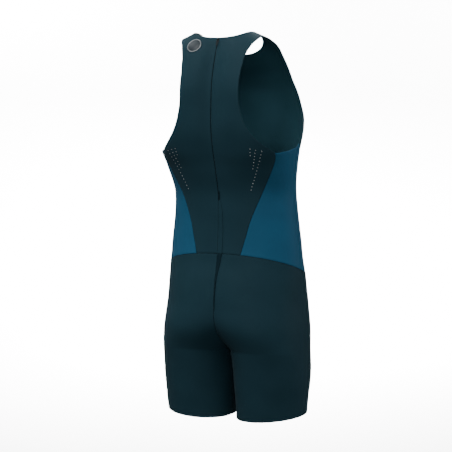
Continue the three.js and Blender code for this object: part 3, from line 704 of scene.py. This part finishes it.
# The seam between the legs: up the inside of each leg, and along the centre from the waist to the zip.
legRows = cut["leg"] * fine
zipRow = legRows + zipEnd["row"] * fine
shortsOut = gridNormals(shortsGrid)
inseamOut = unit(shortsOut[:legRows, 0] + shortsOut[:legRows, -1])
frontOut = unit(shortsOut[legRows:, 0] * np.array([0, 1, 1]))
seatOut = unit(shortsOut[legRows:zipRow + 1, -1] * np.array([0, 1, 1]))
legSeams = bothSides(shortsGrid[:legRows, 0], inseamOut, pitch)
legSeams.append(stations(shortsGrid[legRows:, 0], frontOut, pitch))
legSeams.append(stations(shortsGrid[legRows:zipRow + 1, -1], seatOut, pitch))
legThread = threadBars("seam_thread_shorts", legSeams, seamStitch)
dress(legThread, "suit", "dark_fabric", "seamThread")
print("seams stitched:", len(bodyThread.data.polygons) + len(legThread.data.polygons), "faces")

# Back zip: a woven tape under both halves, two rows of teeth between them and a flap over the right half.
tapeForm = {"lift": -1.5, "wall": 0.9, "flat": (0.024, 0.640)}
seatStrip = shortsGrid[zipRow:, -(fine + 1):]
tapeRows = np.concatenate([seatStrip, backStrip[1:]])
tapeGrid = np.concatenate([tapeRows, mirrored(tapeRows[:, -2::-1])], axis=1)
tape = clothPiece("zip_tape_woven", [tapeGrid], tapeForm["wall"], tapeForm["lift"])
dress(tape, "suit", "zip_tape", "tapeCloth", "tapeCloth")
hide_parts("zip_tape")

toothForm = {"pitch": 1.3, "from": -0.55, "to": 0.3, "slant": 0.4, "rise": 0.55, "sink": 1.1, "radius": 0.22,
             "rings": 4, "sides": 6, "belowNeck": 9.0}
centre = tapeRows[:, -1]
centreOut = unit(np.gradient(centre, axis=0)[:, [0, 2, 1]] * np.array([0, 1, -1]))
closed = centre[:, 2] < centre[-1, 2] - toothForm["belowNeck"]
zipLine = stations(centre[closed], centreOut[closed], toothForm["pitch"])
halfStep = (zipLine[0] + zipLine[1] * toothForm["pitch"] / 2, *zipLine[1:])
otherRow = dict(toothForm, **{"from": -0.3, "to": 0.55})
for name, line, form in (("zip_teeth_left", zipLine, toothForm), ("zip_teeth_right", halfStep, otherRow)):
    dress(threadBars(name, [line], form), "suit", "zip_tape", "zipTeeth")


# Flap: rows of the right-hand strip, each filled evenly from the zip out to its own width.
def flapGrid(strip, widths, columns=7):
    width = np.interp(np.arange(len(strip)) / fine, np.arange(len(widths)), widths)
    at = (1 - np.linspace(0, 1, columns) * width[:, None] / cut["strip"]) * fine
    i = np.clip(np.floor(at).astype(int), 0, fine - 1)
    rows = np.arange(len(strip))[:, None]
    return mirrored(mix(strip[rows, i], strip[rows, i + 1], (at - i)[..., None]))


flapForm = {"wall": 1.0, "lift": 1.3,
            "back": {"widths": [11.8, 11.8, 11.8, 11.2, 10.4, 5.0], "flat": (0.012, 0.118)},
            "seat": {"widths": [2.2, 2.6, 3.0, 3.4, 5.0, 8.5, 11.8], "flat": (0.012, 0.126)}}
# The seat flap takes the darker cloth, painted shade of its fold; the back flap takes the plain cloths.
flapFinishes = {"back": ("darkCloth", "darkReverse"), "seat": ("seatFlapShadeCloth", "seatFlapShadeCloth")}
flapRows = {"back": backStrip[:(len(flapForm["back"]["widths"]) - 1) * fine + 1], "seat": seatStrip}
for part, strip in flapRows.items():
    form = flapForm[part]
    flap = clothPiece(f"cloth_flap_{part}", [flapGrid(strip, form["widths"])], flapForm["wall"],
                      flapForm["lift"], onCentre=False)
    dress(flap, "suit", "dark_fabric", *flapFinishes[part])
    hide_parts(f"zip_flap_{part}")
    length = np.linalg.norm(np.diff(strip[:, -1], axis=0), axis=1).sum()
    print(f"{flap.name}: {length:.0f} mm long, {flap['flatArea'] * 1e4:.1f} cm2")

# Bar tack at the top of the flap: a close row of short stitches.
tackForm = {"x": 2.6, "ends": (-366.0, -346.5), "levels": 12, "lift": 1.35, "pitch": 0.55, "from": -1.1,
            "to": 1.1, "slant": 0.12, "rise": 0.35, "sink": 0.1, "radius": 0.2, "rings": 4, "sides": 5}
stripLevels = centreLevels(waist["backLevel"], armholeBack, cut["backToNeck"])
tackEnds = np.interp(tackForm["ends"], backStrip[:, -1, 2], stripLevels)
tackLevels = np.linspace(*tackEnds, tackForm["levels"])
tackPlaces = np.stack([angleAtX(tackForm["x"], tackLevels, 1), tackLevels], 1)
tackLine = stations(mirrored(bodyPoint(tackPlaces)), mirrored(bodyNormal(tackPlaces)), tackForm["pitch"])
dress(threadBars("zip_bar_tack", [tackLine], tackForm, tackForm["lift"]), "suit", "dark_fabric", "seamThread")
print("zip made")

# Newton steps in angle and level, until the surface's point lies on each target's line of sight: the miss
# is measured along two directions square to that line, and its slopes are small differences.
def dropOnBody(target, axes, guess, turn=0.05, rise=0.002, steps=15):
    place = np.broadcast_to(np.array(guess), target.shape[:-1] + (2,)).copy()
    for _ in range(steps):
        miss = (bodyPoint(place) - target) @ axes.T
        byTurn = (bodyPoint(place + [turn, 0]) - target) @ axes.T - miss
        byRise = (bodyPoint(place + [0, rise]) - target) @ axes.T - miss
        size = byTurn[..., 0] * byRise[..., 1] - byTurn[..., 1] * byRise[..., 0]
        place[..., 0] -= turn * (miss[..., 0] * byRise[..., 1] - miss[..., 1] * byRise[..., 0]) / size
        place[..., 1] -= rise * (byTurn[..., 0] * miss[..., 1] - byTurn[..., 1] * miss[..., 0]) / size
    return place


# Silver dots on each back panel, in three rows that run down beside the side seam. A row goes straight from
# its first dot to its last, each given by x and z, and is dropped onto the back.
dotForm = {"radius": 1.3, "height": 0.25, "edge": 0.08, "foot": 0.1, "rings": 3, "sides": 12,
           "guess": (45.0, 8.5),
           "rows": [{"first": (114.4, -259.6), "last": (77.1, -343.9), "count": 13},
                    {"first": (102.4, -256.9), "last": (88.8, -297.2), "count": 7},
                    {"first": (91.2, -254.7), "last": (89.2, -268.6), "count": 3}]}


def rowOnBack(row):
    x, z = (np.linspace(row["first"][k], row["last"][k], row["count"]) for k in range(2))
    target = np.stack([x, 0 * x, z], 1)
    places = dropOnBody(target, np.array([[1.0, 0, 0], [0, 0, 1.0]]), dotForm["guess"])
    place, out = bodyPoint(places), bodyNormal(places)
    return place, out, unit(np.cross([0.0, 0.0, 1.0], out))


# Low domes: rings round each place, as high as one less the square of the share of the radius.
def domes(name, place, out, across, form):
    place = place + out * unevenness(place)[:, None]
    share = np.linspace(0, 1, form["rings"] + 1)[1:]
    turn = np.linspace(0, 2 * math.pi, form["sides"], endpoint=False)
    up = np.cross(out, across)
    circle = across[:, None] * np.cos(turn)[:, None] + up[:, None] * np.sin(turn)[:, None]
    flat = place[:, None, None] + circle[:, None] * (share * form["radius"])[:, None, None]
    rings = flat + out[:, None, None] * (form["edge"] + form["height"] * (1 - share ** 2))[:, None, None]
    foot = flat[:, -1:] - out[:, None, None] * form["foot"]
    top = (place + out * (form["edge"] + form["height"]))[:, None]
    points = np.concatenate([top, np.concatenate([rings, foot], 1).reshape(len(place), -1, 3)], 1)
    n = 1 + np.arange((len(share) + 1) * form["sides"]).reshape(-1, form["sides"])
    parts = [ringQuads(n, False), fanRound(n[0]), n[-1][None, ::-1]]
    faces = repeatFaces(parts, len(place), points.shape[1])
    return newObject(name, points.reshape(-1, 3), faces)


spots = [rowOnBack(row) for row in dotForm["rows"]]
spots = [np.concatenate([spot[k] for spot in spots]) for k in range(3)]
dress(domes("print_dots_left", *spots, dotForm), "suit", "badge", "silverPrint")
dress(domes("print_dots_right", *map(mirrored, spots), dotForm), "suit", "badge", "silverPrint")

# Plain round badge: a disc set out flat and dropped onto the back, a raised rim round a shallow dome.
# profile gives, for shares of the radius, how far the face stands off the cloth.
badgeForm = {"centre": (52.0, 36.0, -32.0), "angles": (30, 75, 91), "levels": (12.5, 14.6, 85),
             "radius": 17.0, "sides": 72, "foot": 0.12,
             "profile": np.array([[0.1, 2.37], [0.25, 2.26], [0.4, 2.03], [0.55, 1.68], [0.68, 1.29],
                                  [0.77, 0.96], [0.825, 0.74], [0.85, 0.76], [0.868, 0.98], [0.89, 1.28],
                                  [0.92, 1.45], [0.95, 1.46], [0.975, 1.32], [0.99, 1.1], [1.0, 0.8]]),
             "rimFrom": 0.85}


def makeBadge():
    middle = np.array(badgeForm["centre"])
    places = np.stack(np.meshgrid(*(np.linspace(*badgeForm[k]) for k in ("angles", "levels"))), -1)
    nearest = np.linalg.norm(bodyPoint(places) - middle, axis=-1).argmin()
    guess = places.reshape(-1, 2)[nearest]
    out = bodyNormal(guess)
    across = unit(np.cross([0.0, 0.0, 1.0], out))
    up = np.cross(out, across)
    share, rise = badgeForm["profile"].T
    turn = np.linspace(0, 2 * math.pi, badgeForm["sides"], endpoint=False)
    circle = across * np.cos(turn)[:, None] + up * np.sin(turn)[:, None]
    target = middle + circle[None] * (share * badgeForm["radius"])[:, None, None]
    target = np.concatenate([target, np.broadcast_to(middle, (1, badgeForm["sides"], 3))])
    cloth = bodyPoint(dropOnBody(target, np.stack([across, up]), guess))
    cloth = cloth + out * unevenness(cloth.reshape(-1, 3)).reshape(cloth.shape[:-1])[..., None]
    rings, hub = cloth[:-1] + out * rise[:, None, None], cloth[-1, 0]
    under = cloth[-2::-3] + out * badgeForm["foot"]
    vertices = np.concatenate([rings, under]).reshape(-1, 3)
    n = np.arange(len(vertices)).reshape(-1, badgeForm["sides"]) + 1
    quads, fan = ringQuads(n, False), fanRound(n[0])
    vertices = np.concatenate([[hub + out * rise[0]], vertices])
    piece = newObject("badge_disc", vertices, fan.tolist() + quads.tolist() + [n[-1, ::-1].tolist()])
    rimRings = (share[:-1] >= badgeForm["rimFrom"]).astype(np.int32)
    ofRing = np.concatenate([rimRings, np.ones(len(under), np.int32)])
    index = np.concatenate([np.zeros(len(fan), np.int32), np.repeat(ofRing, badgeForm["sides"]), [1]])
    piece.data.polygons.foreach_set("material_index", index.astype(np.int32))
    dress(piece, "suit", "badge", "badgeField", "badgeRim")
    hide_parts("badge")


makeBadge()
print("dots and badge made")

# Slider and pull tab, worked out in the zip's own frame: x to the wearer's right, y up along the zip, z out.
zipHead = {"at": np.array([0.0, 24.8753, -18.2747]), "up": np.array([0.0, -0.4342, 0.9008])}
sliderForm = {"halfWidth": 3.2, "narrow": 0.62, "from": -5.0, "to": 4.75, "floor": 0.05, "top": 1.3,
              "rings": 25, "sides": 24}
bridgeForm = {"reach": 3.0, "foot": 0.5, "height": 4.1, "bend": 0.75, "radius": 0.5, "halfWidth": 1.2,
              "square": 0.7, "rings": 25, "sides": 14}
tabForm = {"pivot": 2.3, "wall": 0.9, "outer": 3.0, "tip": 2.3, "taper": (0, 5, 16), "length": 16.0,
           "top": 0.55, "window": 4.2, "bar": 0.56, "side": 1.3, "windowSquare": 0.35, "outlineSquare": 0.55,
           "square": 0.45, "around": 96, "section": 20, "ribs": (-13.5, -7.0), "ribHeight": 0.13,
           "ribPitch": 1.3}


def fromZip(local):
    up = zipHead["up"] / np.linalg.norm(zipHead["up"])
    out = np.cross([1.0, 0.0, 0.0], up) * -1
    basis = np.stack([np.cross(up, out), up, out])
    return zipHead["at"] + local @ basis


# Slider body: a ring of rounded rectangle at each step along the zip, wide above and narrow below, its ends
# drawn in as a quarter ellipse.
def makeSlider():
    s = np.linspace(-1, 1, sliderForm["rings"])
    y = mix(sliderForm["from"], sliderForm["to"], (np.sin(s * math.pi / 2) + 1) / 2)
    share = (np.sin(s * math.pi / 2) + 1) / 2
    end = np.sqrt(np.clip(1 - np.abs(np.sin(s * math.pi / 2)) ** 5, 0, 1)) * 0.97 + 0.03
    half = sliderForm["halfWidth"] * mix(sliderForm["narrow"], 1.0, np.clip(share / 0.62, 0, 1)) * end
    turn = np.linspace(0, 2 * math.pi, sliderForm["sides"], endpoint=False)
    thick = (sliderForm["top"] - sliderForm["floor"]) / 2
    x = half[:, None] * signedPower(np.cos(turn), 0.6)
    z = sliderForm["floor"] + thick + thick * (0.25 + 0.75 * end[:, None]) * signedPower(np.sin(turn), 0.6)
    rings = np.stack([x, np.broadcast_to(y[:, None], x.shape), z], -1)
    body = closedTube("zip_slider_body", fromZip(rings)[:, ::-1])
    u = np.linspace(0, math.pi, bridgeForm["rings"])
    foot, bend = bridgeForm["foot"], bridgeForm["bend"]
    rise = bridgeForm["height"] - foot - bridgeForm["radius"]
    path = np.stack([0 * u, -bridgeForm["reach"] * signedPower(np.cos(u), bend),
                     foot + rise * signedPower(np.sin(u), bend)], 1)
    along = unit(np.gradient(path, axis=0))
    outwards = np.cross([1.0, 0.0, 0.0], along)
    turn = np.linspace(0, 2 * math.pi, bridgeForm["sides"], endpoint=False)
    wide, thick = (signedPower(v, bridgeForm["square"])[:, None] for v in (np.cos(turn), np.sin(turn)))
    ring = (bridgeForm["halfWidth"] * wide * np.array([1.0, 0.0, 0.0])
            + bridgeForm["radius"] * thick * outwards[:, None])
    bridge = closedTube("zip_slider_bridge", fromZip(path[:, None] + ring)[:, ::-1])
    for piece in (body, bridge):
        dress(piece, "suit", "zip_metal", "zipEnamel")
    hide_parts("zip_slider")


# Tab: a closed ring of sections between the window's outline and the tab's own, each section a flattened
# superellipse, with grip ribs raised as a sine of the place along the tab.
def makeTab():
    t = np.linspace(0, 2 * math.pi, tabForm["around"], endpoint=False)
    c, s = np.cos(t), np.sin(t)
    halfWindow, halfBar, square = tabForm["window"] / 2, tabForm["bar"] / 2, tabForm["windowSquare"]
    xInner = (tabForm["outer"] - tabForm["side"]) * signedPower(c, square)
    yInner = -halfWindow - halfBar + (halfWindow - halfBar) * signedPower(s, square)
    down = (-tabForm["length"] + tabForm["top"]) / 2
    halfLength = (tabForm["length"] + tabForm["top"]) / 2
    yOuter = down + halfLength * signedPower(s, tabForm["outlineSquare"])
    width = np.interp(-yOuter, tabForm["taper"], [tabForm["outer"], tabForm["outer"], tabForm["tip"]])
    xOuter = width * signedPower(c, tabForm["square"])
    q = np.linspace(0, 2 * math.pi, tabForm["section"], endpoint=False)
    share = 0.5 - 0.5 * signedPower(np.cos(q), tabForm["square"])
    x = mix(xInner[:, None], xOuter[:, None], share)
    y = mix(yInner[:, None], yOuter[:, None], share)
    low, high = tabForm["ribs"]
    ribbed = np.clip((y - low) * 2, 0, 1) * np.clip((high - y) * 2, 0, 1)
    ribs = tabForm["ribHeight"] * (0.5 + 0.5 * np.cos(y * 2 * math.pi / tabForm["ribPitch"])) * ribbed
    z = (tabForm["wall"] / 2 - tabForm["ribHeight"] + ribs) * signedPower(np.sin(q), tabForm["square"])
    points = fromZip(np.stack([x, y, z + tabForm["pivot"]], -1))
    n = np.arange(points.shape[0] * points.shape[1]).reshape(points.shape[:2])
    right, after = np.roll(n, -1, axis=0), np.roll(n, -1, axis=1)
    quads = np.stack([n, after, np.roll(right, -1, axis=1), right], -1).reshape(-1, 4)
    tab = newObject("zip_pull_tab", points.reshape(-1, 3), quads.tolist())
    dress(tab, "tab", "zip_metal", "zipEnamel")
    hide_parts("pull_tab")


makeSlider()
makeTab()
print("slider and tab made")

view = {"turn": math.radians(207.0), "down": math.radians(4.17), "distance": 3.3, "height": -0.185,
        "lens": 119.47, "sensor": 36.0, "sideways": 0.0055}
stageForm = {"floor": -1.25, "width": 9.0, "depth": 4.0, "near": 4.0, "curve": 1.2, "wallTop": 4.0,
             "colour": (0.93, 0.93, 0.93, 1), "rough": 0.9, "gloss": 0.1}
outwards = np.array([math.sin(view["turn"]), -math.cos(view["turn"]), 0])       # from the suit to the camera
right = np.array([-outwards[1], outwards[0], 0.0])


def makeCamera():
    forward = np.array([*(-outwards[:2] * math.cos(view["down"])), -math.sin(view["down"])])
    data = bpy.data.cameras.new("camera")
    data.lens, data.sensor_width = view["lens"], view["sensor"]
    camera = bpy.data.objects.new("camera", data)
    level = np.array([0, 0, view["height"]])
    camera.location = outwards * view["distance"] + level + right * view["sideways"]
    basis = Matrix([right, np.cross(right, forward), -forward]).transposed()
    camera.rotation_euler = basis.to_euler()
    bpy.context.scene.collection.objects.link(camera)
    bpy.context.scene.camera = camera


# Floor that curves up into a wall behind the suit: a profile along the ground, a quarter round and a wall.
def makeStage():
    t = np.linspace(0, math.pi / 2, 24)
    r, depth = stageForm["curve"], stageForm["depth"]
    away = np.concatenate([[-stageForm["near"]], depth + r * np.sin(t), [depth + r]])
    rise = np.concatenate([[0], r * (1 - np.cos(t)), [stageForm["wallTop"]]]) + stageForm["floor"]
    across = np.linspace(-stageForm["width"], stageForm["width"], 5)
    grid = (-outwards * away[:, None, None] + right * across[None, :, None]
            + np.array([0, 0, 1.0]) * rise[:, None, None])
    floor = newObject("studio_floor", grid.reshape(-1, 3) / metre, gridQuads(grid, 0, False).tolist())
    material, _, shader = newMaterial("paleFloor")
    shader.inputs["Base Color"].default_value = stageForm["colour"]
    shader.inputs["Roughness"].default_value = stageForm["rough"]
    shader.inputs["Specular IOR Level"].default_value = stageForm["gloss"]
    floor.data.materials.append(material)
    floor.visible_diffuse = floor.visible_glossy = False      # bright backdrop, no white bounce on the cloth


# Square lamps: where each stands and aims in metres, its size, power and spread in degrees.
lamps = {
    "key": ((0.5, 2.2, 2.6), (0, 0, -0.4), 1.8, 55.0, 120),
    "fill": ((-0.9, 3.4, -0.1), (0, 0, -0.7), 2.2, 13.0, 120),
    "rim": ((-2.6, -1.2, 0.2), (0, 0, -0.5), 1.6, 17.0, 120),
    "left": ((1.7, 0.3, 2.1), (0.05, 0, -0.2), 0.9, 7.0, 100),
    "wallLeft": ((3.6, -2.8, 1.6), (2.6, -5.2, -0.2), 2.4, 640.0, 110),
    "wallRight": ((-0.9, -4.2, 1.9), (1.6, -5.6, -0.4), 2.4, 640.0, 110),
    "floor": ((1.5, -2.6, 2.6), (1.4, -2.6, -1.2), 2.2, 680.0, 90)}
skyLight = {"Color": (1, 1, 1, 1), "Strength": 0.17}


def makeLights():
    for name, (at, aim, size, power, spreadAngle) in lamps.items():
        data = bpy.data.lights.new(name, "AREA")
        data.shape, data.size, data.energy = "SQUARE", size, power
        data.spread = math.radians(spreadAngle)
        light = bpy.data.objects.new(name, data)
        light.location = at
        light.rotation_euler = (Vector(aim) - Vector(at)).to_track_quat("-Z", "Y").to_euler()
        bpy.context.scene.collection.objects.link(light)
    world = bpy.data.worlds.new("studio")
    world.use_nodes = True
    for socket, value in skyLight.items():
        world.node_tree.nodes["Background"].inputs[socket].default_value = value
    bpy.context.scene.world = world


makeCamera()
makeStage()
makeLights()
print("camera, floor and lights made")
